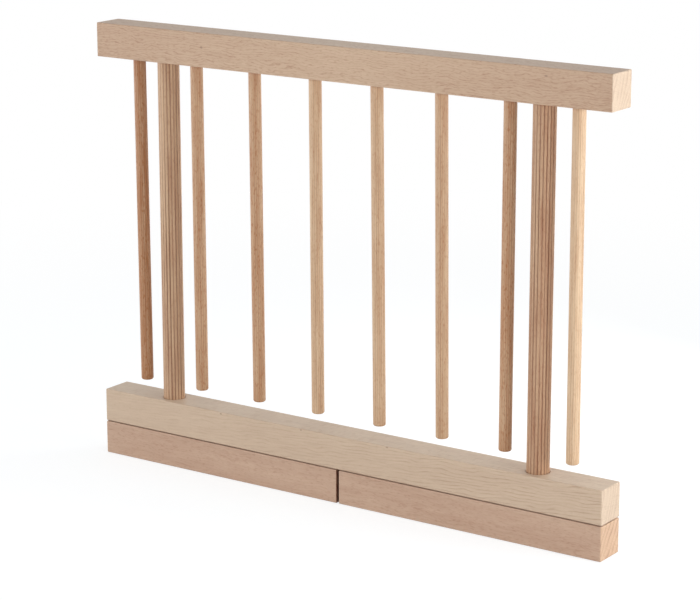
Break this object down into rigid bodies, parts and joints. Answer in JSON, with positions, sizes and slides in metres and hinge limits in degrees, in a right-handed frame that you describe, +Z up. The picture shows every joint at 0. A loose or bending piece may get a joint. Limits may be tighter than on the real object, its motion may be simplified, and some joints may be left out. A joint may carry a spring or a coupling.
{
  "type": "pasta drying rack",
  "caption": "Folding beech rack for drying fresh pasta: a row of thin dowels hangs from a square head bar, on fluted posts and a rail with swing-out feet.",
  "frame": {"origin": "on the table, under the middle of the rack", "axes": "+X along the rack to the right seen from the front, +Y to the back, +Z up"},
  "size_m": [0.43, 0.025, 0.3305],
  "materials": {
    "beech_head": "sanded, unfinished",
    "beech_rail": "sanded, unfinished",
    "beech_foot": "sanded, unfinished",
    "beech_post": "fluted dowel rod, unfinished",
    "beech_dowel": "finely fluted dowel rod, unfinished",
    "zinc_steel": "bright zinc plated",
    "fibre": "hard fibre"
  },
  "bodies": {
    "stand": {"base_rail": "beech_rail", "post_left": "beech_post", "post_right": "beech_post", "pivot_screw_left": "zinc_steel", "head_washer_left": "zinc_steel", "slip_washer_left": "fibre", "pivot_screw_right": "zinc_steel", "head_washer_right": "zinc_steel", "slip_washer_right": "fibre"},
    "head": {"head_bar": "beech_head", "drying_dowel_1": "beech_dowel", "drying_dowel_2": "beech_dowel", "drying_dowel_3": "beech_dowel", "drying_dowel_4": "beech_dowel", "drying_dowel_5": "beech_dowel", "drying_dowel_6": "beech_dowel", "drying_dowel_7": "beech_dowel", "drying_dowel_8": "beech_dowel"},
    "left_foot": {"foot_left": "beech_foot"},
    "right_foot": {"foot_right": "beech_foot"}
  },
  "joints": [
    {"name": "head_lift", "type": "slide", "parent": "stand", "child": "head", "axis": [0, 0, 1], "range_m": [0, 0.017]},
    {"name": "left_foot_swing", "type": "hinge", "parent": "stand", "child": "left_foot", "pos_m": [-0.2025, 0, 0.0125], "axis": [0, 0, 1], "range_deg": [0, 90]},
    {"name": "right_foot_swing", "type": "hinge", "parent": "stand", "child": "right_foot", "pos_m": [0.2025, 0, 0.0125], "axis": [0, 0, -1], "range_deg": [0, 90]}
  ]
}
